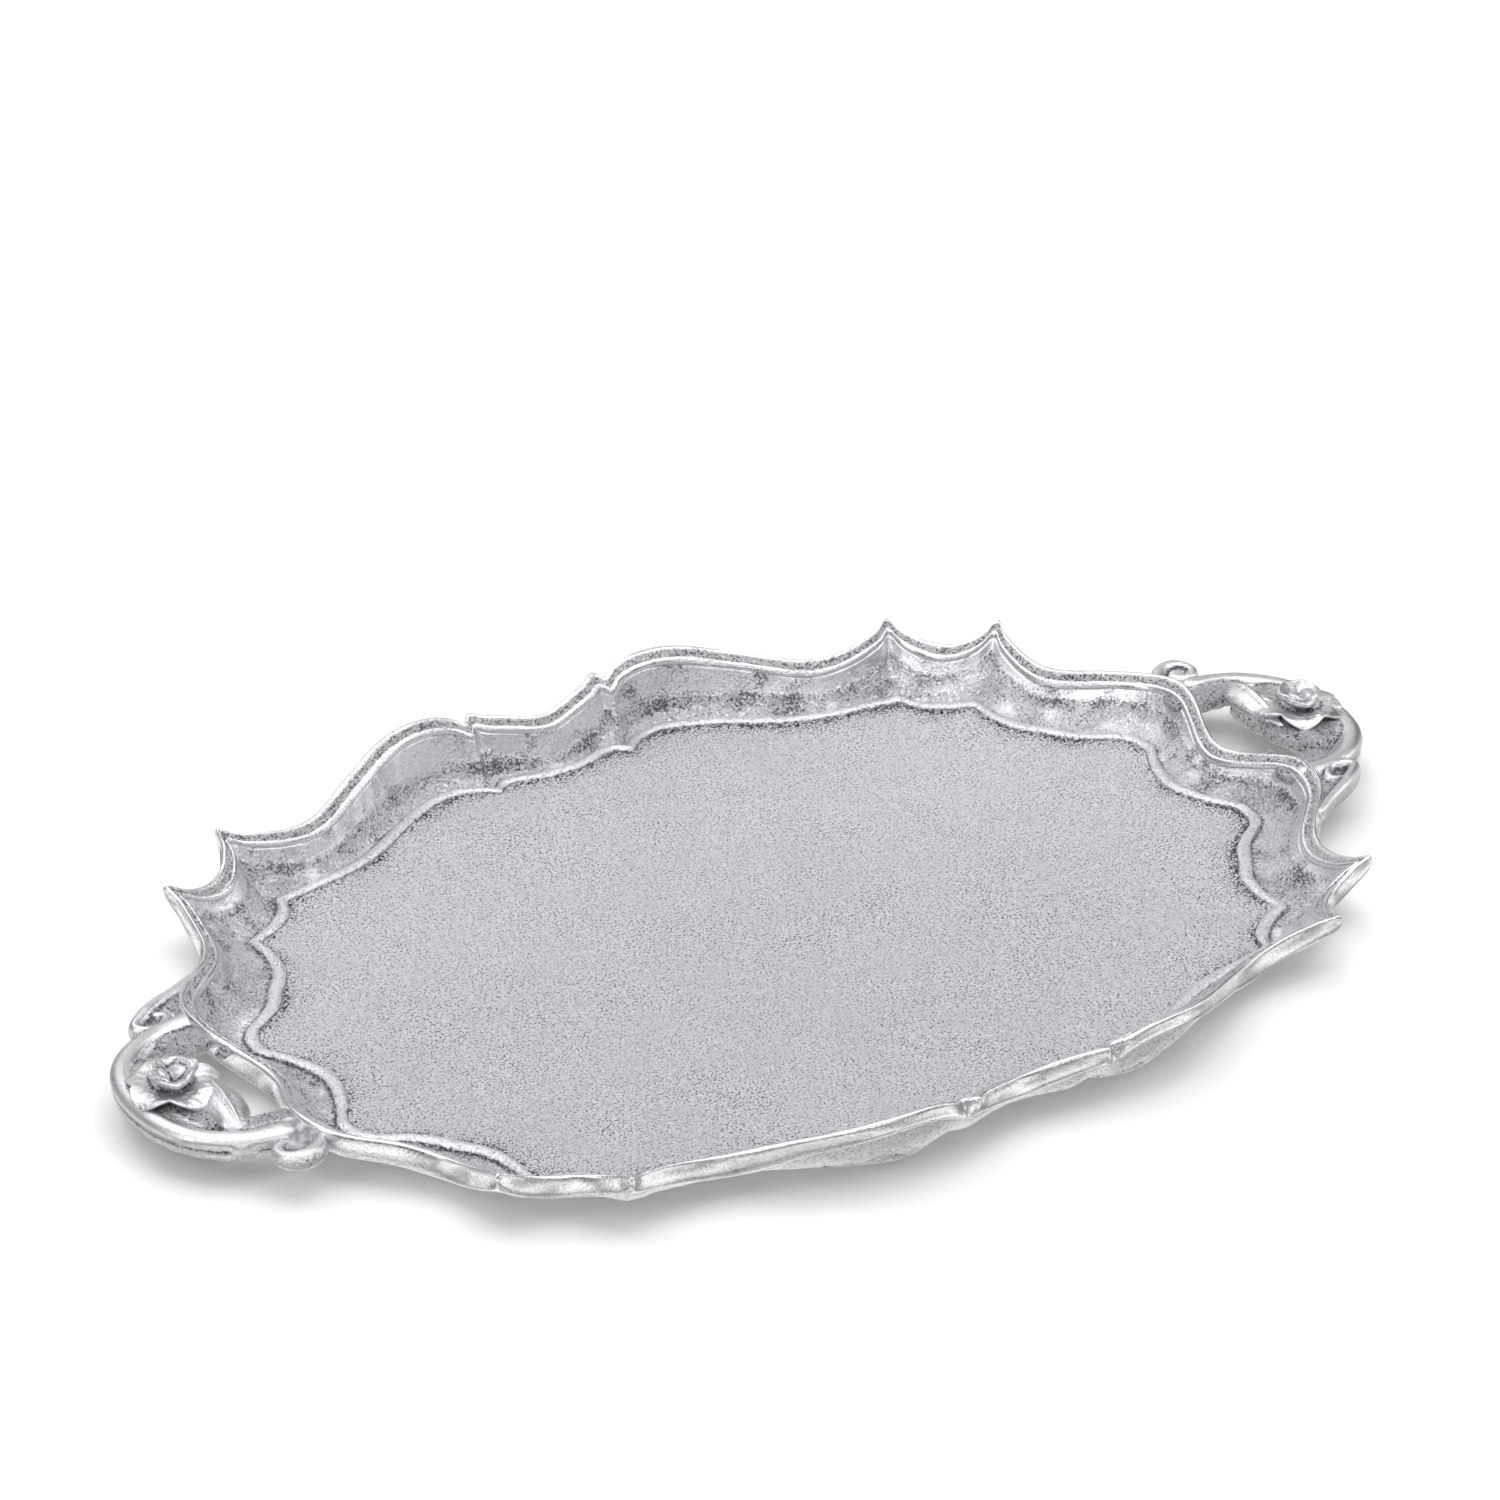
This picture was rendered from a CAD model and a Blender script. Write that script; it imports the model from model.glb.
"""Scalloped cast aluminium serving tray with two scroll handles, dressed for a studio view.

Metres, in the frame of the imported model: origin under the middle of the tray,
+X to the right handle, +Y to the back long side, +Z up.
"""

import logging
import math
from dataclasses import dataclass, field
from enum import Enum

import bpy
import numpy as np
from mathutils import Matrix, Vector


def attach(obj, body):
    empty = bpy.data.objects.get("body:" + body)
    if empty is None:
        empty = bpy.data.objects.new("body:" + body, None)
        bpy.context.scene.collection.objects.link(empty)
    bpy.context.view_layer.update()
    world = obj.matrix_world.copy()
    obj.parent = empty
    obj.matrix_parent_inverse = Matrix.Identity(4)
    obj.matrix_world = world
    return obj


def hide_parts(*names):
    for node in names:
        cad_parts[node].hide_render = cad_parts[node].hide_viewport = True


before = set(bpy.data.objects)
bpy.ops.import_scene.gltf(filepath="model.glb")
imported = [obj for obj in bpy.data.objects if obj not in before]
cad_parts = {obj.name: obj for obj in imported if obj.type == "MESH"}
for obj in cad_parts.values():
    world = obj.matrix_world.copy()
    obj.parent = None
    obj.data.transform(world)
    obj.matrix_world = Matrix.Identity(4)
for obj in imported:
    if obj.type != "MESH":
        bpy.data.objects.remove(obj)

LOG = logging.getLogger("tray")
MM = 0.001
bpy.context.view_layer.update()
Array = np.ndarray


# ---------------------------------------------------------------------------
# curves, noise and meshes
# ---------------------------------------------------------------------------

def even_curve(points: Array, count: int) -> Array:
    """Natural cubic spline through points, read at even steps along its length.

    Each span is the cubic whose second derivative runs in a straight line between
    its ends, and that derivative is nought at both ends of the whole curve.

    Args:
        points: (n, d) control points.
        count: how many points to return.

    Returns:
        (count, d) points on the curve.
    """
    knots = np.r_[0.0, np.cumsum(np.linalg.norm(np.diff(points, axis=0), axis=1))]
    step = np.diff(knots)
    size = len(points)
    system = np.eye(size)
    right = np.zeros_like(points, dtype=float)
    inner = np.arange(1, size - 1)
    system[inner, inner - 1] = step[:-1]
    system[inner, inner] = 2.0 * (step[:-1] + step[1:])
    system[inner, inner + 1] = step[1:]
    slope = np.diff(points, axis=0) / step[:, None]
    right[1:-1] = 6.0 * np.diff(slope, axis=0)
    bend = np.linalg.solve(system, right)

    def read(where: Array) -> Array:
        """Points of the spline at the given knot values."""
        span = np.clip(np.searchsorted(knots, where, side="right") - 1, 0, size - 2)
        width = step[span][:, None]
        ahead = (knots[span + 1] - where)[:, None]
        behind = (where - knots[span])[:, None]
        cubic = (bend[span] * ahead ** 3 + bend[span + 1] * behind ** 3) / (6.0 * width)
        start = (points[span] / width - bend[span] * width / 6.0) * ahead
        end = (points[span + 1] / width - bend[span + 1] * width / 6.0) * behind
        return cubic + start + end

    dense_at = np.linspace(0.0, knots[-1], 40 * size)
    dense = read(dense_at)
    length = np.r_[0.0, np.cumsum(np.linalg.norm(np.diff(dense, axis=0), axis=1))]
    return read(np.interp(np.linspace(0.0, length[-1], count), length, dense_at))


def ring_blur(values: Array, sigma: float) -> Array:
    """Gaussian blur round a closed ring of values.

    Args:
        values: (n, d) values in ring order.
        sigma: standard deviation, in steps of the ring.

    Returns:
        (n, d) blurred values.
    """
    reach = int(math.ceil(4.0 * sigma))
    offsets = np.arange(-reach, reach + 1)
    weights = np.exp(-0.5 * (offsets / sigma) ** 2)
    weights /= weights.sum()
    return sum(w * np.roll(values, -o, axis=0) for w, o in zip(weights, offsets))


def lattice_noise(points: Array, cell: float, seed: int) -> Array:
    """Smooth noise from -1 to 1: random values on a cubic lattice, eased between corners.

    Args:
        points: (..., 3) places.
        cell: lattice spacing in metres.
        seed: picks the pattern.

    Returns:
        (...) noise values.
    """
    grid = points / cell
    base = np.floor(grid).astype(np.int64)
    part = grid - base
    part = part * part * (3.0 - 2.0 * part)
    total = np.zeros(points.shape[:-1])
    for corner in np.ndindex(2, 2, 2):
        key = base + np.array(corner)
        mixed = (key[..., 0] * 73856093) ^ (key[..., 1] * 19349663) ^ (key[..., 2] * 83492791)
        mixed = (mixed ^ (seed * 2654435761)) & 0xFFFFFFFF
        mixed = ((mixed ^ (mixed >> 13)) * 1274126177) & 0xFFFFFFFF
        value = ((mixed ^ (mixed >> 16)) & 0xFFFF) / 32767.5 - 1.0
        weight = np.prod(np.where(np.array(corner) == 1, part, 1.0 - part), axis=-1)
        total += value * weight
    return total


def cast_noise(points: Array, cell: float, seed: int, octaves: int = 3) -> Array:
    """Fractal sum of lattice noise, each octave half as coarse and half as strong."""
    return sum(0.5 ** k * lattice_noise(points, cell * 0.5 ** k, seed + 17 * k)
               for k in range(octaves))


def unit(vectors: Array) -> Array:
    """Vectors brought to length one along their last axis."""
    return vectors / np.maximum(np.linalg.norm(vectors, axis=-1, keepdims=True), 1e-12)


def bump(distance: Array, width: float) -> Array:
    """Bell curve: e to the minus square of distance over width."""
    return np.exp(-(distance / width) ** 2)


def grid_normals(grid: Array) -> Array:
    """Unit normals of a (rows, columns, 3) grid that is closed both ways."""
    down = np.roll(grid, -1, axis=0) - np.roll(grid, 1, axis=0)
    along = np.roll(grid, -1, axis=1) - np.roll(grid, 1, axis=1)
    return unit(np.cross(along, down))


def grid_faces(rows: int, columns: int, wrap_rows: bool = False) -> Array:
    """Quads of a grid of closed rows, its vertices numbered row by row.

    Args:
        rows: number of rows.
        columns: number of vertices in a row.
        wrap_rows: whether the last row joins the first.

    Returns:
        (faces, 4) vertex numbers.
    """
    row = np.arange(rows if wrap_rows else rows - 1)
    r, c = np.meshgrid(row, np.arange(columns), indexing="ij")
    below, beside = (r + 1) % rows, (c + 1) % columns
    quads = np.stack([r * columns + c, r * columns + beside,
                      below * columns + beside, below * columns + c], axis=-1)
    return quads.reshape(-1, 4)


def capped_faces(rows: int, columns: int) -> list[Array]:
    """Faces of a grid closed by two poles that are numbered after its vertices.

    Args:
        rows: number of rows.
        columns: number of vertices in a row.

    Returns:
        The quads between the rows, and the fan at each pole.
    """
    side = np.arange(columns)
    beside = (side + 1) % columns
    pole = np.full(columns, rows * columns)
    base = (rows - 1) * columns
    return [grid_faces(rows, columns), np.stack([beside, side, pole], axis=1),
            np.stack([base + side, base + beside, pole + 1], axis=1)]


def spin(turn: float) -> Array:
    """Matrix of a turn about Z, in degrees."""
    a = math.radians(turn)
    return np.array([[math.cos(a), -math.sin(a), 0], [math.sin(a), math.cos(a), 0], [0, 0, 1]])


@dataclass
class Surface:
    """Vertices, faces and point attributes of one shell."""

    points: Array
    faces: list[Array]
    masks: dict[str, Array] = field(default_factory=dict)

    def flipped(self) -> "Surface":
        """The same shell with its faces turned over."""
        return Surface(self.points, [f[:, ::-1] for f in self.faces], self.masks)

    def moved(self, points: Array) -> "Surface":
        """The same shell with its vertices elsewhere."""
        return Surface(points, self.faces, self.masks)


def joined(shells: list[Surface]) -> Surface:
    """Several shells as one surface; masks that a shell lacks are nought there."""
    names = sorted({name for shell in shells for name in shell.masks})
    faces, masks, start = [], {name: [] for name in names}, 0
    for shell in shells:
        faces += [f + start for f in shell.faces]
        for name in names:
            masks[name].append(shell.masks.get(name, np.zeros(len(shell.points))))
        start += len(shell.points)
    return Surface(np.concatenate([s.points for s in shells]), faces,
                   {name: np.concatenate(parts) for name, parts in masks.items()})


def mesh_object(name: str, surface: Surface) -> bpy.types.Object:
    """Smooth-shaded object at the origin, holding a surface and its masks."""
    mesh = bpy.data.meshes.new(name)
    counts = np.concatenate([np.full(len(f), f.shape[1]) for f in surface.faces])
    loops = np.concatenate([f.reshape(-1) for f in surface.faces])
    mesh.vertices.add(len(surface.points))
    mesh.vertices.foreach_set("co", surface.points.astype(np.float32).reshape(-1))
    mesh.loops.add(len(loops))
    mesh.loops.foreach_set("vertex_index", loops.astype(np.int32))
    mesh.polygons.add(len(counts))
    mesh.polygons.foreach_set("loop_start", np.r_[0, np.cumsum(counts)[:-1]].astype(np.int32))
    mesh.polygons.foreach_set("use_smooth", np.ones(len(counts), dtype=bool))
    mesh.update(calc_edges=True)
    mesh.validate()
    for mask, values in surface.masks.items():
        layer = mesh.attributes.new(mask, "FLOAT", "POINT")
        layer.data.foreach_set("value", values.astype(np.float32))
    obj = bpy.data.objects.new(name, mesh)
    bpy.context.scene.collection.objects.link(obj)
    return obj


def object_surface(obj: bpy.types.Object) -> tuple[Array, Array, Array]:
    """Vertices, unit normals and quads of an object with its modifiers applied."""
    graph = bpy.context.evaluated_depsgraph_get()
    mesh = bpy.data.meshes.new_from_object(obj.evaluated_get(graph))
    points = np.zeros(len(mesh.vertices) * 3, np.float32)
    mesh.vertices.foreach_get("co", points)
    normals = np.zeros(len(mesh.vertices) * 3, np.float32)
    mesh.vertex_normals.foreach_get("vector", normals)
    loops = np.zeros(len(mesh.loops), np.int32)
    mesh.loops.foreach_get("vertex_index", loops)
    bpy.data.meshes.remove(mesh)
    return (points.reshape(-1, 3).astype(float), normals.reshape(-1, 3).astype(float),
            loops.reshape(-1, 4))


def fused_shells(shells: list[Surface], voxel: float, smoothing: int) -> tuple[Array, Array, Array]:
    """Overlapping closed shells melted into one skin, as metal runs together in a mould.

    Args:
        shells: closed shells that overlap.
        voxel: size of the remesh.
        smoothing: rounds of smoothing, which fillet the joins.

    Returns:
        Vertices, normals and quads of the skin.
    """
    blank = mesh_object("melt", joined(shells))
    remesh = blank.modifiers.new("melt", "REMESH")
    remesh.mode = "VOXEL"
    remesh.voxel_size = voxel
    smooth = blank.modifiers.new("fillet", "SMOOTH")
    smooth.factor = 0.5
    smooth.iterations = smoothing
    result = object_surface(blank)
    mesh = blank.data
    bpy.data.objects.remove(blank)
    bpy.data.meshes.remove(mesh)
    return result


def tube(path: Array, radius: Array, sides: int = 16, flat: float = 1.0) -> Surface:
    """Closed tube along a path, with rounded ends.

    Each ring stands square to the path, with one axis level and the other upright;
    its radius follows the given values and the upright one is flat times as much.

    Args:
        path: (n, 3) centre line.
        radius: (n,) radius at each point.
        sides: points round the tube.
        flat: height of the section as a share of its width.

    Returns:
        The closed shell.
    """
    ahead = unit(np.gradient(path, axis=0))
    level = unit(np.cross(ahead, [0.0, 0.0, 1.0]))
    upright = np.cross(level, ahead)
    cap = np.sqrt(np.linspace(0.0, 1.0, 5)[1:-1])
    back = np.sqrt(1.0 - cap ** 2)[:, None]
    centres = np.concatenate([path[0] - ahead[0] * radius[0] * back, path,
                              path[-1] + ahead[-1] * radius[-1] * back[::-1]])
    radii = np.r_[cap * radius[0], radius, cap[::-1] * radius[-1]][:, None, None]
    level, upright = (np.concatenate([a[:1].repeat(3, 0), a, a[-1:].repeat(3, 0)])[:, None]
                      for a in (level, upright))
    turn = np.linspace(0.0, 2.0 * math.pi, sides, endpoint=False)[None, :, None]
    rings = centres[:, None] + radii * (np.cos(turn) * level + flat * np.sin(turn) * upright)
    poles = [path[0] - ahead[0] * radius[0], path[-1] + ahead[-1] * radius[-1]]
    return Surface(np.concatenate([rings.reshape(-1, 3), poles]),
                   capped_faces(len(centres), sides))


def pillow(centre: Array, axes: tuple[float, float, float], turn: float = 0.0,
           power: float = 2.0) -> Surface:
    """Closed rounded body: a superellipsoid, turned about the upright axis.

    Args:
        centre: its middle.
        axes: half sizes along its own X, Y and Z.
        turn: angle about Z, in degrees.
        power: 2 is an ellipsoid, more is squarer.

    Returns:
        The closed shell.
    """
    rise = np.linspace(-math.pi / 2, math.pi / 2, 25)[1:-1]
    round_ = np.linspace(0.0, 2.0 * math.pi, 40, endpoint=False)
    lat, lon = np.meshgrid(rise, round_, indexing="ij")

    def eased(value: Array) -> Array:
        """Sine or cosine drawn towards a square."""
        return np.sign(value) * np.abs(value) ** (2.0 / power)

    local = np.stack([axes[0] * eased(np.cos(lat)) * eased(np.cos(lon)),
                      axes[1] * eased(np.cos(lat)) * eased(np.sin(lon)),
                      axes[2] * eased(np.sin(lat))], axis=-1).reshape(-1, 3)
    local = np.concatenate([local, [[0, 0, -axes[2]], [0, 0, axes[2]]]])
    return Surface(local @ spin(turn).T + centre, capped_faces(len(rise), len(round_)))


def outward(surface: Surface) -> Surface:
    """The shell with its faces pointing out, judged by the sign of its volume."""
    volume = 0.0
    for face in surface.faces:
        corner = surface.points[face]
        for k in range(1, face.shape[1] - 1):
            volume += np.einsum("ij,ij->", corner[:, 0], np.cross(corner[:, k], corner[:, k + 1]))
    return surface if volume > 0 else surface.flipped()


def blade(length: float, width: float, thick: float, cup: float, lift: float,
          curl: float, rib: float, fullness: float = 0.75) -> Surface:
    """Closed petal or leaf from its root at the origin out along +X.

    Across its length its half width goes as a sine of a power of the way out, its
    sides rise as the square of the way across (cup), its middle as the way out
    (lift) less the fourth power of it (curl), and a midrib stands on its middle.

    Args:
        length: root to tip.
        width: greatest width.
        thick: thickness at the middle.
        cup: rise of the sides.
        lift: rise of the tip.
        curl: fall of the tip, taken off the lift.
        rib: height of the midrib.
        fullness: under 1 the widest place is nearer the root.

    Returns:
        The closed shell.
    """
    rows, half = 22, 15
    out = np.linspace(0.02, 0.985, rows)
    across = -np.cos(np.linspace(0.0, math.pi, half))
    side = np.r_[across, across[-2:0:-1]]
    face = np.r_[np.ones(half), -np.ones(half - 2)]
    u, v = np.meshgrid(out, side, indexing="ij")
    swell = np.sin(math.pi * u ** (1.0 / fullness)) ** 0.6
    body = thick * 0.5 * np.sqrt(np.clip(1.0 - v ** 2, 0.0, 1.0)) * swell ** 0.5
    height = (lift * u - curl * u ** 4 + cup * v ** 2 * swell + face[None, :] * body
              + np.where(face[None, :] > 0, rib * bump(v, 0.14) * swell, 0.0))
    points = np.stack([u * length, v * swell * width / 2, height], axis=-1)
    root = points[0].mean(axis=0)
    tip = points[-1].mean(axis=0) + [0.01 * length, 0.0, 0.0]
    return Surface(np.concatenate([points.reshape(-1, 3), [root, tip]]),
                   capped_faces(rows, len(side)))


def placed(surface: Surface, place: tuple[float, float, float], turn: float,
           tip: float = 0.0) -> Surface:
    """A shell tipped up about Y, turned about Z and moved, all in millimetres and degrees."""
    b = math.radians(tip)
    pitch = np.array([[math.cos(b), 0, -math.sin(b)], [0, 1, 0], [math.sin(b), 0, math.cos(b)]])
    return surface.moved(surface.points @ (spin(turn) @ pitch).T + np.array(place))


# ---------------------------------------------------------------------------
# finishes
# ---------------------------------------------------------------------------

@dataclass(frozen=True)
class CastFinish:
    """One finish of cast aluminium, from bare sand grain to buffed bright."""

    name: str
    bright: tuple[float, float, float]
    dull: tuple[float, float, float]
    grain_depth: float
    pore_share: float
    rough_cast: float
    rough_buffed: float
    grain_size: float = 0.0012
    pore: tuple[float, float, float] = (0.16, 0.16, 0.175)


@dataclass(frozen=True)
class SkinWeights:
    """How strongly each mask acts in the shared node groups."""

    pit_fineness: float = 1.15
    broad_scale: float = 32.0
    pore_level: float = 0.78
    pore_width: float = 0.045
    share_lean: float = 0.1
    cavity_lean: float = 0.16
    broad_lean: float = 0.16
    pore_depth: float = 0.7
    crevice_hold: float = 0.6
    grain_light: float = 0.85
    buff_smoothing: float = 0.45
    buff_light: float = 0.55
    mottle_light: float = 0.14
    buff_flattening: float = 0.93
    pore_roughness: float = 0.25
    mottle_roughness: float = 0.07


class Wiring:
    """Adds nodes to one tree; a value may be a socket, a number or a colour."""

    def __init__(self, tree: bpy.types.NodeTree) -> None:
        """Keep the tree."""
        self.tree = tree

    def link(self, value: object, socket: object) -> None:
        """Join a socket to another, or set it to a plain value."""
        if isinstance(value, bpy.types.NodeSocket):
            self.tree.links.new(value, socket)
        else:
            socket.default_value = value

    def node(self, kind: str, values: dict[str, object], **settings: object) -> object:
        """New node with its settings made and its inputs filled.

        Args:
            kind: the node's type, less its first word.
            values: what goes into each named input.
            settings: properties of the node, set before its inputs.

        Returns:
            The node.
        """
        node = self.tree.nodes.new("ShaderNode" + kind)
        for name, setting in settings.items():
            setattr(node, name, setting)
        for label, value in values.items():
            self.link(value, node.inputs[label])
        return node

    def math(self, operation: str, first: object, second: object) -> object:
        """Output of a math node on two values."""
        node = self.node("Math", {}, operation=operation)
        self.link(first, node.inputs[0])
        self.link(second, node.inputs[1])
        return node.outputs[0]

    def plus(self, first: object, second: object) -> object:
        """Sum of two values."""
        return self.math("ADD", first, second)

    def less(self, first: object, second: object) -> object:
        """First value less the second."""
        return self.math("SUBTRACT", first, second)

    def times(self, first: object, second: object) -> object:
        """Product of two values."""
        return self.math("MULTIPLY", first, second)

    def ramp(self, value: object, low: object, high: object, start: float = 0.0,
             end: float = 1.0) -> object:
        """Smooth step of a value.

        Args:
            value: what is read.
            low: where the step begins.
            high: where it ends.
            start: output at and below low.
            end: output at and above high.

        Returns:
            The output socket.
        """
        values = {"Value": value, "From Min": low, "From Max": high, "To Min": start, "To Max": end}
        return self.node("MapRange", values, interpolation_type="SMOOTHSTEP").outputs["Result"]

    def noise(self, place: object, scale: object, detail: float, roughness: float = 0.5) -> object:
        """Output of a noise texture at a place."""
        values = {"Vector": place, "Scale": scale, "Detail": detail, "Roughness": roughness}
        return self.node("TexNoise", values).outputs["Fac"]

    def mix(self, factor: object, first: object, second: object, blend: str = "MIX") -> object:
        """Output of a colour mix."""
        values = {"Factor": factor, "A": first, "B": second}
        return self.node("Mix", values, data_type="RGBA", blend_type=blend).outputs["Result"]


def new_material(name: str) -> tuple[bpy.types.Material, object]:
    """New material and its own shader."""
    material = bpy.data.materials.new(name)
    material.use_nodes = True
    return material, material.node_tree.nodes["Principled BSDF"]


class FinishShop:
    """Makes the shared node groups and the materials that use them."""

    def __init__(self) -> None:
        """Build the two shared groups once."""
        self.weights = SkinWeights()
        self.grain = self._grain_group()
        self.skin = self._skin_group()

    @staticmethod
    def _group(name: str, inputs: dict[str, object],
               outputs: tuple[str, ...]) -> tuple[Wiring, object, object]:
        """Empty node group with its named sockets.

        Args:
            name: the group's name.
            inputs: default of each input: a number, a colour, or None for a place.
            outputs: name of each output, a number unless it is called Color.

        Returns:
            The group's wiring, what comes in and what goes out.
        """
        tree = bpy.data.node_groups.new(name, "ShaderNodeTree")
        for label, value in inputs.items():
            kind = {float: "Float", tuple: "Color"}.get(type(value), "Vector")
            socket = tree.interface.new_socket(label, in_out="INPUT",
                                               socket_type="NodeSocket" + kind)
            if value is not None:
                socket.default_value = value
        for label in outputs:
            kind = "Color" if label == "Color" else "Float"
            tree.interface.new_socket(label, in_out="OUTPUT", socket_type="NodeSocket" + kind)
        source, sink = tree.nodes.new("NodeGroupInput"), tree.nodes.new("NodeGroupOutput")
        return Wiring(tree), source.outputs, sink.inputs

    def _grain_group(self) -> bpy.types.NodeTree:
        """Sand grain of the mould, scattered pores and broad mottling."""
        net, source, sink = self._group(
            "sand_grain",
            {"Place": None, "Grain Size": 0.0008, "Pore Share": 0.5, "Cavity": 0.0},
            ("Height", "Pores", "Mottle"))
        w, place = self.weights, source["Place"]
        fine = net.math("DIVIDE", 1.0, source["Grain Size"])
        sand = net.noise(place, fine, 4.0, 0.62)
        pits = net.noise(place, net.times(fine, w.pit_fineness), 2.0, 0.55)
        broad = net.noise(place, w.broad_scale, 3.0, 0.55)
        lean = net.plus(net.times(source["Pore Share"], w.share_lean),
                        net.times(source["Cavity"], w.cavity_lean))
        low = net.less(w.pore_level, net.plus(lean, net.times(broad, w.broad_lean)))
        pores = net.ramp(pits, low, net.plus(low, w.pore_width))
        net.link(net.less(net.ramp(sand, 0.3, 0.7), net.times(pores, w.pore_depth)), sink["Height"])
        net.link(pores, sink["Pores"])
        net.link(net.ramp(broad, 0.3, 0.7), sink["Mottle"])
        return net.tree

    def _skin_group(self) -> bpy.types.NodeTree:
        """Colour, roughness and relief of cast metal from its grain and how far it is buffed."""
        net, source, sink = self._group(
            "cast_skin",
            {"Height": 0.5, "Pores": 0.0, "Mottle": 0.5, "Buffed": 0.0, "Cavity": 0.0,
             "Bright": (0.9, 0.9, 0.9, 1.0), "Dull": (0.7, 0.7, 0.7, 1.0),
             "Pore Colour": (0.2, 0.2, 0.2, 1.0), "Rough Cast": 0.5, "Rough Buffed": 0.15},
            ("Color", "Roughness", "Relief"))
        w = self.weights
        reached = net.less(1.0, net.times(source["Cavity"], w.crevice_hold))
        buffed = net.times(source["Buffed"], reached)
        fade = net.less(w.grain_light, net.times(buffed, w.buff_smoothing))
        tone = net.plus(net.times(buffed, w.buff_light), net.times(source["Height"], fade))
        tone = net.plus(tone, net.times(source["Mottle"], w.mottle_light))
        shade = net.mix(net.math("MINIMUM", tone, 1.0), source["Dull"], source["Bright"])
        bare = net.less(1.0, net.times(buffed, w.buff_flattening))
        pores = net.times(source["Pores"], bare)
        net.link(net.mix(pores, shade, source["Pore Colour"]), sink["Color"])
        gap = net.less(source["Rough Buffed"], source["Rough Cast"])
        rough = net.plus(source["Rough Cast"], net.times(gap, buffed))
        rough = net.plus(rough, net.times(pores, w.pore_roughness))
        patchy = net.times(net.less(source["Mottle"], 0.5), w.mottle_roughness)
        net.link(net.plus(rough, patchy), sink["Roughness"])
        net.link(net.times(source["Height"], bare), sink["Relief"])
        return net.tree

    def material(self, finish: CastFinish) -> bpy.types.Material:
        """Cast metal that reads the piece's own 'buffed' and 'cavity' attributes.

        Args:
            finish: colours, grain and roughness.

        Returns:
            The material.
        """
        material, shader = new_material(finish.name)
        shader.inputs["Metallic"].default_value = 1.0
        net = Wiring(material.node_tree)
        buffed, cavity = (net.node("Attribute", {}, attribute_name=name).outputs["Fac"]
                          for name in ("buffed", "cavity"))
        grain = net.node("Group", {
            "Place": net.node("TexCoord", {}).outputs["Object"], "Cavity": cavity,
            "Grain Size": finish.grain_size, "Pore Share": finish.pore_share,
        }, node_tree=self.grain).outputs
        skin = net.node("Group", {
            "Height": grain["Height"], "Pores": grain["Pores"], "Mottle": grain["Mottle"],
            "Buffed": buffed, "Cavity": cavity, "Bright": (*finish.bright, 1.0),
            "Dull": (*finish.dull, 1.0), "Pore Colour": (*finish.pore, 1.0),
            "Rough Cast": finish.rough_cast, "Rough Buffed": finish.rough_buffed,
        }, node_tree=self.skin).outputs
        relief = net.node("Bump", {"Distance": finish.grain_depth, "Height": skin["Relief"]})
        net.link(skin["Color"], shader.inputs["Base Color"])
        net.link(skin["Roughness"], shader.inputs["Roughness"])
        net.link(relief.outputs["Normal"], shader.inputs["Normal"])
        return material


FLOOR_FINISH = CastFinish("sand_cast_floor", bright=(0.98, 0.98, 1.0), dull=(0.66, 0.66, 0.695),
                          grain_depth=0.0006, pore_share=1.15, rough_cast=0.42, rough_buffed=0.3,
                          grain_size=0.001, pore=(0.08, 0.08, 0.095))
BORDER_FINISH = CastFinish("coarse_cast_border", (0.88, 0.88, 0.9), (0.38, 0.38, 0.405),
                           0.0007, 0.9, 0.3, 0.3)
RIM_FINISH = CastFinish("buffed_rim", (0.8, 0.8, 0.815), (0.6, 0.6, 0.62), 0.0007, 0.8, 0.32, 0.2)
HANDLE_FINISH = CastFinish("buffed_handle", (0.74, 0.74, 0.755), (0.42, 0.42, 0.44),
                           0.0007, 1.1, 0.36, 0.33)
ORNAMENT_FINISH = CastFinish("buffed_ornament", (0.72, 0.72, 0.735), (0.42, 0.42, 0.44),
                             0.0005, 0.7, 0.34, 0.28)


# ---------------------------------------------------------------------------
# plan of the tray
# ---------------------------------------------------------------------------

@dataclass
class Ring:
    """Stations round the tray, in millimetres: rim, bead, the way across and the jogs.

    A jog is how far a station was pushed out and how far it was lifted.
    """

    rim: Array
    bead: Array
    across: Array
    jog: Array

    def from_rim(self, inward: Array, drop: Array) -> Array:
        """Points a distance in from the rim and below it: rim + across * inward, z - drop."""
        inward, drop = np.atleast_1d(inward), np.atleast_1d(drop)
        level = self.rim[None, :, :2] + self.across[None] * inward.reshape(inward.shape[0], -1, 1)
        height = self.rim[None, :, 2] - drop.reshape(drop.shape[0], -1)
        return np.concatenate([level, np.broadcast_to(height, level.shape[:2])[..., None]], axis=-1)

    def from_bead(self, outward_by: Array, height: Array) -> Array:
        """Points a distance outside the bead's crest line, at a height."""
        outward_by, height = np.atleast_1d(outward_by), np.atleast_1d(height)
        level = self.bead[None] - self.across[None] * outward_by.reshape(outward_by.shape[0], -1, 1)
        high = np.broadcast_to(height.reshape(height.shape[0], -1), level.shape[:2])
        return np.concatenate([level, high[..., None]], axis=-1)


Share3 = tuple[tuple[float, float, float], ...]
Share2 = tuple[tuple[float, float], ...]
Point = tuple[float, float, float]
# what the rim's lower edge shares with the heel of the border's underside
RIM_MIDDLE = 26.7
SETTLE = 0.9
TAPER = 0.04


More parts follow.
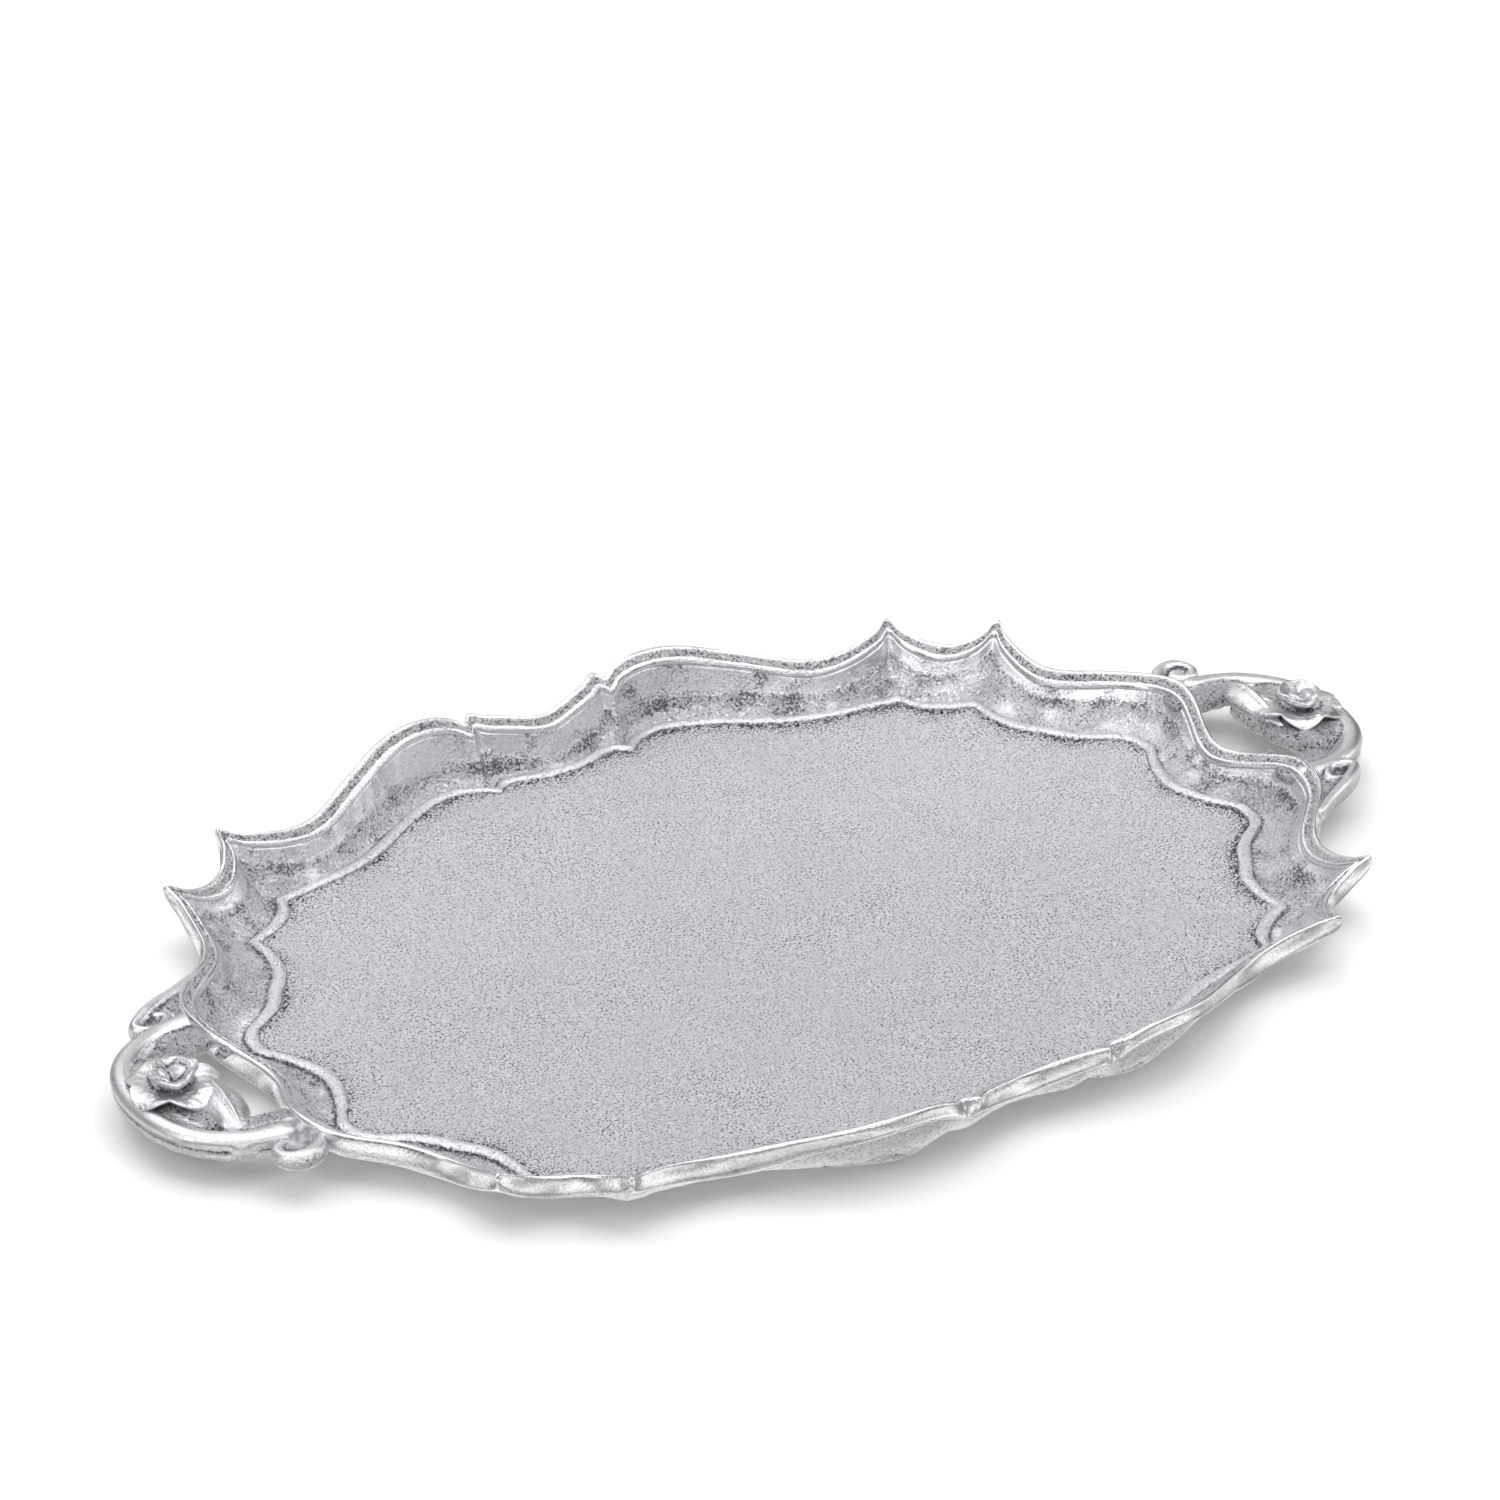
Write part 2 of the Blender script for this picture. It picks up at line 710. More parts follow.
@dataclass
class TrayPlan:
    """Outline of the rim and of the bead: one quarter each, as shares of the half sizes."""

    half_length: float = 200.0
    half_width: float = 178.0
    rim_height: float = RIM_MIDDLE
    wave: float = 9.0
    end_split: float = 0.72
    end_steps: int = 271
    corner_steps: int = 51
    hump_steps: int = 141
    middle_steps: int = 67
    notch_curl: float = 4.4
    notch_poke: float = 3.0
    notch_step: float = 1.5
    notch_width: float = 5.0
    sink_width: float = 7.0
    lift_width: float = 6.0
    tip_nose: float = 3.4
    tip_lift: float = 1.6
    tip_width: float = 3.0
    rim_blur: float = 1.5
    bead_blur: float = 1.1
    across_blur: float = 2.0
    rim_middle: Share3 = ((0.163, 0.994, 0.0), (0.098, 0.974, -0.13), (0.0, 0.948, -0.48))
    rim_hump: Share3 = ((0.163, 0.994, 0.0), (0.245, 1.001, 0.46), (0.332, 0.993, 0.47),
                        (0.425, 0.950, 0.11), (0.516, 0.892, -0.31), (0.607, 0.839, -0.69),
                        (0.705, 0.820, -0.50), (0.811, 0.842, 0.0))
    rim_corner: Share3 = ((0.811, 0.842, 0.0), (0.840, 0.774, -0.43), (0.880, 0.724, -0.66),
                          (0.935, 0.695, -0.57), (1.0, 0.683, 0.0))
    rim_end: Share3 = ((1.0, 0.683, 0.0), (1.002, 0.598, -0.68), (1.018, 0.509, -0.98),
                       (1.078, 0.416, -0.77), (1.155, 0.328, -0.60), (1.184, 0.228, -0.45),
                       (1.157, 0.114, -0.95), (1.127, 0.0, -1.35))
    bead_middle: Share2 = ((0.160, 0.848), (0.132, 0.876), (0.070, 0.862), (0.0, 0.851))
    bead_hump: Share2 = ((0.160, 0.848), (0.195, 0.880), (0.265, 0.898), (0.330, 0.875),
                         (0.390, 0.840), (0.500, 0.763), (0.590, 0.727), (0.675, 0.711),
                         (0.750, 0.697))
    bead_corner: Share2 = ((0.750, 0.697), (0.769, 0.649), (0.800, 0.615), (0.872, 0.573))
    bead_shoulder: Share2 = ((0.872, 0.573), (0.871, 0.520), (0.893, 0.421), (0.928, 0.368),
                             (0.960, 0.317), (1.000, 0.281), (1.048, 0.236), (1.060, 0.169))
    bead_end: Share2 = ((1.060, 0.169), (1.018, 0.084), (1.0, 0.0))

    def _rim(self, shares: Share3) -> Array:
        """Rim points in millimetres."""
        return np.array(shares) * [self.half_length, self.half_width, self.wave] \
            + [0.0, 0.0, self.rim_height]

    def _bead(self, shares: Share2) -> Array:
        """Bead points in millimetres."""
        return np.array(shares) * [self.half_length, self.half_width]

    @staticmethod
    def _whole(half: Array, sign: list[float]) -> Array:
        """A half curve and its reflection, joined at its last point."""
        return np.concatenate([half, half[:-1][::-1] * np.array(sign)])

    @staticmethod
    def _at_ends(count: int, width: float) -> Array:
        """Two bell curves, one at each end of a run of stations."""
        at = np.arange(count)
        return bump(at, width) + bump(at[::-1], width)

    def ring(self) -> Ring:
        """Stations at about one millimetre round the whole tray, anticlockwise.

        The rim curve and the bead curve of each scallop are read at even steps and
        paired; the half from the right end round to the left is then turned by half
        a turn for the other half. The jogs are bell curves at the tips and notches,
        and a blur rounds the cusps.

        Returns:
            The ring.
        """
        tip = [self.tip_nose, self.tip_lift]
        split = int(round(self.end_split * (self.end_steps - 1) / 2))
        shoulder = even_curve(self._bead(self.bead_shoulder), split + 1)
        mouth = even_curve(self._whole(self._bead(self.bead_end), [1, -1]),
                           self.end_steps - 2 * split)
        end_rim = self._whole(self._rim(self.rim_end), [1, -1, 1])
        end = np.hstack([even_curve(end_rim, self.end_steps),
                         np.concatenate([shoulder, mouth[1:-1], shoulder[::-1] * [1, -1]]),
                         np.outer(self._at_ends(self.end_steps, self.tip_width), tip)])
        corner = np.hstack([even_curve(self._rim(self.rim_corner), self.corner_steps),
                            even_curve(self._bead(self.bead_corner), self.corner_steps),
                            np.outer(self._at_ends(self.corner_steps, self.tip_width), tip)])
        at = np.arange(self.hump_steps)
        hump = np.hstack([even_curve(self._rim(self.rim_hump), self.hump_steps),
                          even_curve(self._bead(self.bead_hump), self.hump_steps),
                          np.outer(bump(at, self.notch_width), [-self.notch_curl, 0.0])
                          + np.outer(bump(at, self.sink_width), [0.0, -self.notch_step])
                          + np.outer(bump(at[::-1], self.tip_width), tip)])
        poke = self.notch_poke * self._at_ends(self.middle_steps, self.notch_width)
        lift = self.notch_step * self._at_ends(self.middle_steps, self.lift_width)
        middle = np.column_stack([
            even_curve(self._whole(self._rim(self.rim_middle), [-1, 1, 1]), self.middle_steps),
            even_curve(self._whole(self._bead(self.bead_middle), [-1, 1]), self.middle_steps),
            poke, lift])
        mirror = [-1, 1, 1, -1, 1, 1, 1]
        half_turn = [-1, -1, 1, -1, -1, 1, 1]
        half = np.concatenate([part[:-1] for part in (end[::-1], corner[::-1], hump[::-1], middle,
                                                      hump * mirror, corner * mirror)])
        rim, bead, jog = np.split(np.concatenate([half, half * half_turn]), [3, 5], axis=1)
        across = unit(bead - rim[:, :2])
        rim[:, :2] -= across * jog[:, :1]
        rim[:, 2] += jog[:, 1]
        return Ring(ring_blur(rim, self.rim_blur), ring_blur(bead, self.bead_blur),
                    unit(ring_blur(across, self.across_blur)), ring_blur(jog, self.rim_blur))


# ---------------------------------------------------------------------------
# the body of the tray
# ---------------------------------------------------------------------------

def roughened(grid: Array, amount: Array, layers: list[tuple[float, float, int]]) -> Array:
    """A closed grid with noise along its normals.

    Args:
        grid: (rows, columns, 3) points in millimetres, closed both ways.
        amount: (rows, columns) share of the noise at each point.
        layers: (height, cell, seed) of each layer of noise, in millimetres.

    Returns:
        The moved grid.
    """
    normal = grid_normals(grid)
    height = sum(h * cast_noise(grid, cell, seed) for h, cell, seed in layers)
    return grid + normal * (amount * height)[..., None]


def band_surface(grid: Array, buffed: Array, cavity: Array) -> Surface:
    """Surface in metres of a grid in millimetres that is closed both ways."""
    return Surface(grid.reshape(-1, 3) * MM, [grid_faces(*grid.shape[:2], True)],
                   {"buffed": buffed.reshape(-1), "cavity": cavity.reshape(-1)})


def dressed(name: str, surface: Surface, node: str,
            material: bpy.types.Material) -> bpy.types.Object:
    """Mesh object that stands for a node and takes its slot and material."""
    obj = mesh_object(name, outward(surface))
    obj.data.materials.append(material)
    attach(obj, "root")
    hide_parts(node)
    LOG.info("%s: %d faces", name, len(obj.data.polygons))
    return obj


@dataclass
class RimMoulding:
    """Rolled rim: bulged outer band, thin crest, grained groove, ridge and lip."""

    band_rows: int = 11
    band_middle: float = 3.8
    band_top: float = 2.0
    band_reach: float = 5.5
    lean: float = 0.2
    patch_wear: float = 0.25
    # inward, drop, buffed and cavity of each row of the section, once round
    section: tuple[tuple[float, float, float, float], ...] = (
        (0.95, 0.0, 1, 0), (0.45, 0.12, 1, 0), (0.1, 0.5, 1, 0), (-0.2, 1.3, 1, 0),
        (-0.45, 2.4, 1, 0), (-0.6, 3.8, 1, 0), (-0.55, 5.2, 1, 0), (-0.3, 6.4, 1, 0),
        (0.1, 7.2, 0.95, 0), (0.9, 7.9, 0.9, 0), (2.4, 8.4, 0.6, 0), (3.4, 7.9, 0.3, 0.3),
        (4.6, 7.2, 0.3, 0.3), (5.8, 6.4, 0.3, 0.3), (6.7, 5.8, 0.4, 0.3), (7.1, 5.3, 0.9, 0.1),
        (7.05, 4.7, 1, 0), (6.8, 4.0, 1, 0), (6.4, 3.4, 1, 0), (5.9, 2.95, 1, 0),
        (5.4, 2.75, 0.95, 0), (5.05, 2.85, 0.7, 0.4), (4.7, 3.0, 0.45, 0.8), (4.2, 2.85, 0.3, 0.6),
        (3.7, 2.5, 0.25, 0.5), (3.2, 2.0, 0.25, 0.5), (2.75, 1.5, 0.3, 0.5), (2.35, 0.95, 0.6, 0.3),
        (2.05, 0.45, 1, 0), (1.6, 0.1, 1, 0))

    def build(self, ring: Ring, material: bpy.types.Material) -> bpy.types.Object:
        """Carry the section round the ring, with the unevenness of hand fettling.

        Args:
            ring: the stations.
            material: the rim's finish.

        Returns:
            The piece.
        """
        table = np.array(self.section)
        drop = table[:, 1:2]
        band = np.arange(len(table))[:, None] < self.band_rows
        tilt = self.lean * cast_noise(ring.rim, 48.0, 15, 2)
        low = band * np.clip((drop - self.band_top) / self.band_reach, 0.0, 1.0)
        taper = 1.0 - TAPER * (ring.rim[None, :, 2] - RIM_MIDDLE) * low
        low = SETTLE * low
        inward = table[:, :1] + band * (drop - self.band_middle) * tilt[None]
        grid = ring.from_rim(inward + low * ring.jog[None, :, 0],
                             drop * taper + low * ring.jog[None, :, 1])
        buffed, cavity = (np.broadcast_to(table[:, k:k + 1], grid.shape[:2]) for k in (2, 3))
        grid = roughened(grid, np.ones(grid.shape[:2]), [(0.34, 26.0, 3), (0.05, 6.0, 5)])
        grid = roughened(grid, cavity, [(0.32, 2.6, 9)])
        patch = np.where(band, 0.0, cast_noise(grid, 16.0, 21))
        buffed = np.clip(buffed - self.patch_wear * np.clip(patch, 0.0, 1.0), 0.0, 1.0)
        return dressed("rim_band", band_surface(grid, buffed, cavity), "rim_moulding",
                       material)


@dataclass
class Border:
    """Hollow slope between the rim and the floor, ending in a rounded bead."""

    floor_top: float = 2.5
    lip_in: float = 6.9
    lip_drop: float = 5.3
    heel_in: float = 2.6
    heel_drop: float = 8.2
    valley_rise: float = 0.4
    valley_dip: float = 0.35
    bead_half: float = 3.0
    bead_rise: float = 2.2
    bead_fullness: float = 0.75
    cove_rows: int = 27
    cove_power: float = 2.0
    facet: float = 3.2
    facet_share: float = 0.42
    facet_fade: float = 1.6
    facet_step: float = 0.5
    facet_wear: float = 0.65
    ledge_top: float = 1.2
    ledge_width: float = 5.0
    foot_in: float = 4.6
    knee_in: float = 1.5
    under_rise: float = 1.4
    under_buffed: float = 0.4

    def _slope(self, top: Array, foot: Array, share: Array) -> Array:
        """Hollow slope between two lines round the tray.

        In plan it runs straight, and its height over the foot is a power of the
        share of the way still to go.

        Args:
            top: (n, 3) upper line.
            foot: (n, 3) lower line.
            share: (rows, 1, 1) share of the way from the top.

        Returns:
            (rows, n, 3) grid.
        """
        level = top[None, :, :2] * (1 - share) + foot[None, :, :2] * share
        fall = (top[:, 2] - foot[:, 2])[None] * (1 - share[..., 0]) ** self.cove_power
        return np.concatenate([level, (foot[None, :, 2] + fall)[..., None]], axis=-1)

    def build(self, ring: Ring, material: bpy.types.Material) -> bpy.types.Object:
        """Cove, bead, ledge and underside as one closed section.

        The cove is a hollow slope from the lip to the valley; a buffed facet under
        the lip stands a little proud of the rough part; the bead is half an ellipse,
        filled out by a power of its sine.

        Args:
            ring: the stations.
            material: the border's finish.

        Returns:
            The piece.
        """
        lip = ring.from_rim([self.lip_in], [self.lip_drop])[0]
        valley = ring.from_bead([self.bead_half], [self.floor_top + self.valley_rise])[0]
        share = np.linspace(0.0, 1.0, self.cove_rows)[:, None, None]
        cove = self._slope(lip, valley, share)
        width = np.linalg.norm(valley[:, :2] - lip[:, :2], axis=1)
        past = share[..., 0] * width[None] - np.minimum(self.facet, self.facet_share * width)[None]
        edge = np.clip(past / self.facet_fade, 0.0, 1.0)
        edge = edge * edge * (3 - 2 * edge)
        ease = np.clip((1.0 - share[..., 0]) / 0.25, 0.0, 1.0)
        cove[..., 2] -= self.facet_step * edge * ease
        cove[-1, :, 2] -= self.valley_dip
        cove_cavity = 0.45 * bump(past - 0.8, 1.2) * (edge > 0)
        cove_cavity[-3:] = np.maximum(cove_cavity[-3:], np.array([0.35, 0.8, 1.0])[:, None])

        turn = np.radians(np.linspace(12.0, 168.0, 12))
        crown = self.floor_top + 0.1 + self.bead_rise * np.sin(turn) ** self.bead_fullness
        bead = ring.from_bead(self.bead_half * 0.97 * np.cos(turn), crown)
        back = -self.bead_half - self.ledge_width
        ledge = ring.from_bead(
            [-self.bead_half, -self.bead_half, back, back, -self.bead_half - self.foot_in],
            [self.floor_top - 0.2, self.ledge_top, self.ledge_top, 0.0, 0.0])
        taper = 1.0 - TAPER * (ring.rim[:, 2] - RIM_MIDDLE)
        heel = ring.from_rim((self.heel_in + SETTLE * ring.jog[:, 0])[None],
                             (self.heel_drop * taper + SETTLE * ring.jog[:, 1])[None])[0]
        knee = ring.from_bead([-self.knee_in], [self.under_rise])[0]
        under = self._slope(heel, knee, np.linspace(1.0, 0.0, 11)[:, None, None])
        grid = np.concatenate([cove, bead, ledge, under])

        def over_bead(angles: list[float], values: list[float]) -> Array:
            """A mask over the bead, read between the given angles."""
            rows = np.interp(turn, np.radians(angles), values)
            return np.repeat(rows[:, None], len(ring.rim), 1)

        rest = (len(ledge) + len(under), len(ring.rim))
        buffed = np.concatenate([1.0 - self.facet_wear * edge,
                                 over_bead([12, 35, 140, 168], [0.2, 0.75, 0.75, 0.2]),
                                 np.full(rest, self.under_buffed)])
        cavity = np.concatenate([cove_cavity, over_bead([12, 30, 145, 168], [1, 0, 0, 0.6]),
                                 np.zeros(rest)])
        grid = roughened(grid, np.full(grid.shape[:2], 0.8), [(0.22, 30.0, 31)])
        rough = np.clip(1.0 - buffed, 0.12, 1.0)
        seat = len(cove) + len(bead)
        rough[seat:seat + len(ledge)] = 0.0
        grid = roughened(grid, rough, [(0.4, 6.0, 37), (0.3, 2.4, 41)])
        hollow = slice(self.cove_rows)
        patch = cast_noise(grid[hollow], 13.0, 43)
        pitted = np.clip(cast_noise(grid[hollow], 9.0, 47) - 0.15, 0.0, 1.0)
        buffed[hollow] = np.clip(buffed[hollow] + 0.5 * patch, 0.0, 1.0)
        cavity[hollow] = np.clip(cavity[hollow] + 1.1 * pitted, 0.0, 1.0)
        grid[..., 2] = np.maximum(grid[..., 2], 0.0)
        return dressed("coved_border", band_surface(grid, buffed, cavity), "border",
                       material)


@dataclass
class FloorPlate:
    """Flat floor with a sand grain, stepped at its edge to sit on the border's ledge."""

    top: float = 2.5
    ledge_top: float = 1.2
    edge_in: float = 3.0
    step_in: float = 8.0
    seat_gap: float = 0.02
    sweep: float = 0.7
    sway: float = 0.1
    offsets: tuple[float, ...] = (0.0, 0.5, 1.0, 1.6, 2.4, 3.4, 5.0, 7.0, 10.0, 14.0)

    def build(self, ring: Ring, material: bpy.types.Material) -> bpy.types.Object:
        """Rings drawn in to the middle, above and below, about a stepped edge.

        Args:
            ring: the stations.
            material: the floor's finish.

        Returns:
            The piece.
        """
        thin = Ring(ring.rim[::2], ring.bead[::2], ring.across[::2], ring.jog[::2])
        offsets = np.array(self.offsets)
        near = thin.from_bead(-self.edge_in - offsets, np.zeros(len(offsets)))[..., :2]
        inward = np.linspace(1.0, 0.012, 44)[1:, None, None]
        plan = np.concatenate([near, near[-1][None] * inward])[::-1]
        from_edge = np.r_[offsets, np.full(len(inward), 99.0)][::-1]
        height = self.top + self.sweep * bump(from_edge, 2.6)[:, None]
        top = np.concatenate([plan, np.broadcast_to(height[..., None], (*plan.shape[:2], 1))],
                             axis=-1)
        top[..., 2] += self.sway * cast_noise(top, 45.0, 51) * (from_edge > 6.0)[:, None]
        inner = -self.step_in - self.seat_gap
        step = thin.from_bead([-self.edge_in - self.seat_gap, inner, inner],
                              [self.ledge_top, self.ledge_top, 0.0])
        bottom = step[-1][None] * np.linspace(0.97, 0.012, 20)[:, None, None]
        grid = np.concatenate([top, step, bottom])
        points = np.concatenate([grid.reshape(-1, 3), [[0.0, 0.0, self.top], [0.0, 0.0, 0.0]]])
        crease = 0.55 * bump(from_edge, 3.4) + 0.2 * bump(from_edge, 10.0)
        patchy = 0.75 + 0.6 * cast_noise(top, 17.0, 53)
        cavity = np.zeros(len(points))
        cavity[:patchy.size] = np.clip(crease[:, None] * patchy, 0.0, 1.0).reshape(-1)
        surface = Surface(points * MM, capped_faces(*grid.shape[:2]),
                          {"buffed": np.zeros(len(points)), "cavity": cavity})
        return dressed("grained_floor", surface, "floor_plate", material)


# ---------------------------------------------------------------------------
# the handles
# ---------------------------------------------------------------------------

class Side(Enum):
    """End of the tray, by the turn that takes the right-hand handle there."""

    RIGHT = 1.0
    LEFT = -1.0

    def put(self, points: Array) -> Array:
        """Points of the right-hand handle, turned half round for the left."""
        return points * np.array([self.value, self.value, 1.0])


def plan_distance(points: Array, path: Array) -> Array:
    """Distance in plan from points to the nearest point of a path: metres in, millimetres out."""
    offset = points[:, None, :2] - path[None, :, :2]
    return np.sqrt((offset ** 2).sum(axis=2)).min(axis=1) / MM


def skin_cavity(points: Array, normals: Array, quads: Array, rounds: int) -> Array:
    """How far each vertex lies in a hollow, in the units of the points.

    The vertices are averaged with their neighbours a number of times, and the
    average's height over the vertex, along its normal, is the measure.

    Args:
        points: vertices.
        normals: their unit normals.
        quads: the faces.
        rounds: how many times they are averaged.

    Returns:
        Depth of each vertex, below nought on high places.
    """
    edges = np.concatenate([quads[:, [0, 1]], quads[:, [1, 2]], quads[:, [2, 3]], quads[:, [3, 0]]])
    count = np.maximum(np.bincount(edges[:, 0], minlength=len(points))
                       + np.bincount(edges[:, 1], minlength=len(points)), 1)[:, None]
    soft = points.copy()
    for _ in range(rounds):
        total = np.stack([np.bincount(edges[:, 0], soft[edges[:, 1], k], len(points))
                          + np.bincount(edges[:, 1], soft[edges[:, 0], k], len(points))
                          for k in range(3)], axis=1)
        soft = total / count
    return np.einsum("ij,ij->i", soft - points, normals)


@dataclass
class CastPiece:
    """A piece at one end of the tray, cast from shells that run together."""

    side: Side

    def melted(self, shells: list[Surface], voxel: float, smoothing: int,
               rounds: int) -> tuple[Array, Array, Array, Array]:
        """Skin of some shells given in millimetres.

        Args:
            shells: closed shells that overlap.
            voxel: size of the remesh, in metres.
            smoothing: rounds of smoothing.
            rounds: rounds of averaging behind the depth.

        Returns:
            Vertices, normals and quads in metres, and the depth in millimetres.
        """
        skin = fused_shells([outward(s.moved(s.points * MM)) for s in shells], voxel, smoothing)
        return (*skin, skin_cavity(*skin, rounds) / MM)

    def finished(self, piece: str, node: str, slot: str, surface: Surface,
                 material: bpy.types.Material) -> bpy.types.Object:
        """The piece turned to its own end of the tray, named for it and dressed."""
        name = self.side.name.lower()
        return dressed(f"{piece}_{name}", surface.moved(self.side.put(surface.points)),
                       f"{node}_{name}", material)


@dataclass
class ScrollHandle(CastPiece):
    """Cast handle: arch of two rolls, rough bed and webs, and a scroll outside each foot."""

    arm_z: float = 16.2
    arch_x: float = 237.4
    arch_depth: float = 41.0
    arch_half: float = 43.0
    arch_power: float = 2.3
    foot_x: float = 235.5
    main_roll: float = 4.9
    lower_roll: float = 3.4
    inner_roll: float = 3.6
    voxel: float = 0.00055
    near_scroll: Share2 = ((219.0, -71.0), (228.0, -66.0), (239.0, -61.0), (249.5, -54.5),
                           (254.5, -48.5), (249.5, -45.0), (243.0, -47.0), (240.5, -52.0),
                           (244.5, -54.5))
    far_scroll: Share2 = ((232.0, 49.0), (236.0, 56.5), (243.0, 61.0), (250.0, 59.0),
                          (251.5, 53.0), (246.5, 50.0), (242.5, 53.5))
    # webs, bed and nub: middle with its height over the arm, half sizes, turn, squareness
    bodies: tuple[tuple[Point, Point, float, float], ...] = (
        ((244.5, -51.5, -0.8), (8.5, 7.0, 2.3), 35.0, 2.0),
        ((245.5, 54.5, -0.2), (6.0, 6.0, 3.2), 0.0, 2.0),
        ((238.0, -56.5, -1.2), (12.0, 6.0, 3.4), 28.0, 2.6),
        ((262.8, -1.0, -0.3), (18.2, 28.0, 5.0), 4.0, 3.4),
        ((246.0, 36.5, -0.8), (18.5, 9.0, 4.0), -4.0, 3.6),
        ((241.5, -36.0, -1.0), (14.5, 9.0, 3.6), 8.0, 3.0),
        ((233.5, -20.0, -0.2), (4.2, 2.6, 2.6), 24.0, 2.0))
    def arch(self, count: int = 60) -> Array:
        """Centre line: straight feet and a squared half ellipse between them."""
        turn = np.linspace(-math.pi / 2, math.pi / 2, count)
        power = 2.0 / self.arch_power
        x = self.arch_x + self.arch_depth * np.abs(np.cos(turn)) ** power
        y = self.arch_half * np.sign(np.sin(turn)) * np.abs(np.sin(turn)) ** power
        x[[0, -1]] = self.foot_x
        return even_curve(np.stack([x, y, np.full(count, self.arm_z)], axis=1)[::3], count)

    def _scroll(self, plan: Share2, start: float, swell: float, end: float,
                flat: float) -> Surface:
        """A roll that winds in on itself, thick in the middle of its run."""
        path = even_curve(np.array(plan), 40)
        way = np.linspace(0.0, 1.0, 40)
        radius = np.interp(way, [0.0, 0.45, 1.0], [start, swell, end])
        height = self.arm_z + 0.6 * np.sin(math.pi * way)
        return tube(np.column_stack([path, height]), radius, flat=flat)

    def shells(self) -> list[Surface]:
        """The overlapping bodies that the handle is cast from."""
        path = self.arch()
        way = np.linspace(0.0, 1.0, len(path))
        main = self.main_roll * np.interp(way, [0, 0.1, 0.5, 0.9, 1], [1.05, 0.9, 1.05, 0.9, 1.05])
        away = path - (path.mean(axis=0) - [10.0, 0.0, 0.0])
        away[:, 2] = 0.0
        away = unit(away)
        lower = path + away * 1.0 - [0.0, 0.0, 3.1]
        inner = (path - away * 3.0 + [0.0, 0.0, 0.2])[5:-5]
        return [tube(path + [0.0, 0.0, 0.9], main, flat=0.8),
                tube(lower, np.full(len(lower), self.lower_roll), flat=0.8),
                tube(inner, np.full(len(inner), self.inner_roll), flat=0.72),
                self._scroll(self.near_scroll, 2.0, 3.0, 1.8, 1.5),
                self._scroll(self.far_scroll, 3.0, 3.6, 2.4, 1.1),
                *(pillow(np.array(middle) + [0.0, 0.0, self.arm_z], axes, turn, power)
                  for middle, axes, turn, power in self.bodies)]

    def build(self, material: bpy.types.Material) -> bpy.types.Object:
        """Melt the bodies together, roughen the hollows and buff the high places.

        Args:
            material: the handle's finish.

        Returns:
            The piece.
        """
        points, normals, quads, hollow = self.melted(self.shells(), self.voxel, 3, 14)
        near = plan_distance(points, self.arch(200)[::4] * MM)
        scrolls = [even_curve(np.array(p), 40) for p in (self.near_scroll, self.far_scroll)]
        near_scroll = plan_distance(points, np.concatenate(scrolls) * MM)
        smooth = np.maximum(np.clip((6.8 - near) / 1.6, 0, 1),
                            np.clip((4.0 - near_scroll) / 1.2, 0, 1))
        smooth *= np.clip((points[:, 2] / MM - self.arm_z + 5.5) / 2.0, 0.25, 1.0)
        cavity = np.clip(hollow / 0.30, 0.0, 1.0)
        buffed = np.clip(smooth - 0.7 * cavity, 0.0, 1.0)
        rough = 1.0 - buffed
        relief = (0.42 * cast_noise(points, 3.2 * MM, 61, 2)
                  + 0.22 * cast_noise(points, 1.5 * MM, 67, 2))
        wobble = 0.35 * cast_noise(points, 17.0 * MM, 71, 1)
        points = points + normals * ((relief * rough + wobble) * MM)[:, None]
        cavity = np.clip(cavity + 1.44 * np.clip(-relief, 0, 1) * rough, 0.0, 1.0)
        surface = Surface(points, [quads], {"buffed": buffed, "cavity": cavity})
        return self.finished("scroll_handle", "handle", "handle_metal", surface, material)


